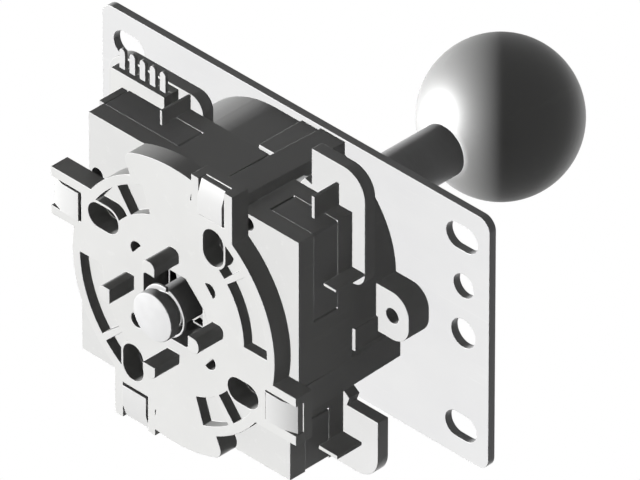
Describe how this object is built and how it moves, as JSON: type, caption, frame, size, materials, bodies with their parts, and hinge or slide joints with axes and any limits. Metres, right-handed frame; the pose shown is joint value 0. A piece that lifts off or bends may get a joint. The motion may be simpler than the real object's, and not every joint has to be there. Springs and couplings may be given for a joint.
{
  "type": "arcade joystick lever",
  "caption": "Ball-top arcade joystick lever on a flat mounting plate: sprung tilt on a ball pivot, octagonal gate, switches under the plate and a pin header.",
  "frame": {"origin": "top face of the mounting plate, on the lever's axis at rest", "axes": "+Z from the plate towards the ball, +X along the plate's long side"},
  "size_m": [0.095, 0.0665, 0.1018],
  "materials": {
    "zinc_plate": "zinc-plated sheet, satin",
    "zinc_screw": "zinc-plated, satin",
    "housing_plastic": "moulded, fine texture",
    "frame_plastic": "moulded, fine texture",
    "board_laminate": "resist-coated laminate",
    "header_plastic": "moulded nylon",
    "tinned_pin": "tinned",
    "terminal_metal": "tinned",
    "gate_plastic": "moulded, fine texture",
    "shaft_steel": "turned, satin",
    "sleeve_steel": "satin plated tube",
    "ball_plastic": "polished",
    "insert_brass": "turned",
    "pivot_plastic": "smooth acetal",
    "actuator_plastic": "smooth acetal",
    "seat_steel": "plain washer",
    "spring_steel": "drawn wire",
    "ring_steel": "spring steel",
    "switch_plastic": "moulded",
    "lever_spring_steel": "rolled strip",
    "plunger_plastic": "smooth acetal"
  },
  "bodies": {
    "base": {"mounting_plate": "zinc_plate", "plate_screws": "zinc_screw", "main_housing": "housing_plastic", "switch_frame": "frame_plastic", "circuit_board": "board_laminate", "connector_header": "header_plastic", "connector_pins": "tinned_pin", "switch_terminals": "terminal_metal", "restrictor_gate": "gate_plastic", "spring_seat": "seat_steel", "switch_case_1": "switch_plastic", "switch_case_2": "switch_plastic", "switch_case_3": "switch_plastic", "switch_case_4": "switch_plastic"},
    "spring": {"centering_spring": "spring_steel"},
    "stick": {"shaft": "shaft_steel", "shaft_sleeve": "sleeve_steel", "ball_top": "ball_plastic", "ball_insert": "insert_brass", "pivot": "pivot_plastic", "actuator": "actuator_plastic", "retaining_ring": "ring_steel"},
    "lever_1": {"switch_lever_1": "lever_spring_steel"},
    "plunger_1": {"switch_plunger_1": "plunger_plastic"},
    "lever_2": {"switch_lever_2": "lever_spring_steel"},
    "plunger_2": {"switch_plunger_2": "plunger_plastic"},
    "lever_3": {"switch_lever_3": "lever_spring_steel"},
    "plunger_3": {"switch_plunger_3": "plunger_plastic"},
    "lever_4": {"switch_lever_4": "lever_spring_steel"},
    "plunger_4": {"switch_plunger_4": "plunger_plastic"}
  },
  "joints": [
    {"name": "tilt_x", "type": "hinge", "parent": "base", "child": "spring", "pos_m": [0, 0, -0.0076], "axis": [1, 0, 0], "range_deg": [-6, 6], "stiffness_Nm_per_rad": 1.2, "deforming": ["centering_spring"]},
    {"name": "tilt_y", "type": "hinge", "parent": "spring", "child": "stick", "pos_m": [0, 0, -0.0076], "axis": [0, 1, 0], "range_deg": [-6, 6], "stiffness_Nm_per_rad": 1.2, "deforming": ["centering_spring"]},
    {"name": "lever_1_hinge", "type": "hinge", "parent": "base", "child": "lever_1", "pos_m": [-0.0227, -0.0153, -0.02065], "axis": [0, 0, 1], "range_deg": [-3.6, 3.6], "stiffness_Nm_per_rad": 0.002},
    {"name": "plunger_1_slide", "type": "slide", "parent": "base", "child": "plunger_1", "axis": [0, 1, 0], "range_m": [-0.0004, 0.0004], "stiffness_N_per_m": 4},
    {"name": "lever_2_hinge", "type": "hinge", "parent": "base", "child": "lever_2", "pos_m": [0.0153, -0.0227, -0.02065], "axis": [0, 0, 1], "range_deg": [-3.6, 3.6], "stiffness_Nm_per_rad": 0.002},
    {"name": "plunger_2_slide", "type": "slide", "parent": "base", "child": "plunger_2", "axis": [-1, 0, 0], "range_m": [-0.0004, 0.0004], "stiffness_N_per_m": 4},
    {"name": "lever_3_hinge", "type": "hinge", "parent": "base", "child": "lever_3", "pos_m": [0.0227, 0.0153, -0.02065], "axis": [0, 0, 1], "range_deg": [-3.6, 3.6], "stiffness_Nm_per_rad": 0.002},
    {"name": "plunger_3_slide", "type": "slide", "parent": "base", "child": "plunger_3", "axis": [0, -1, 0], "range_m": [-0.0004, 0.0004], "stiffness_N_per_m": 4},
    {"name": "lever_4_hinge", "type": "hinge", "parent": "base", "child": "lever_4", "pos_m": [-0.0153, 0.0227, -0.02065], "axis": [0, 0, 1], "range_deg": [-3.6, 3.6], "stiffness_Nm_per_rad": 0.002},
    {"name": "plunger_4_slide", "type": "slide", "parent": "base", "child": "plunger_4", "axis": [1, 0, 0], "range_m": [-0.0004, 0.0004], "stiffness_N_per_m": 4}
  ],
  "couplings": [
    {"joint": "lever_1_hinge", "follows": "tilt_x", "ratio": 0.57489},
    {"joint": "plunger_1_slide", "follows": "tilt_x", "m_per_rad": 0.0036218},
    {"joint": "lever_2_hinge", "follows": "tilt_y", "ratio": 0.57489},
    {"joint": "plunger_2_slide", "follows": "tilt_y", "m_per_rad": 0.0036218},
    {"joint": "lever_3_hinge", "follows": "tilt_x", "ratio": -0.57489},
    {"joint": "plunger_3_slide", "follows": "tilt_x", "m_per_rad": -0.0036218},
    {"joint": "lever_4_hinge", "follows": "tilt_y", "ratio": -0.57489},
    {"joint": "plunger_4_slide", "follows": "tilt_y", "m_per_rad": -0.0036218}
  ]
}
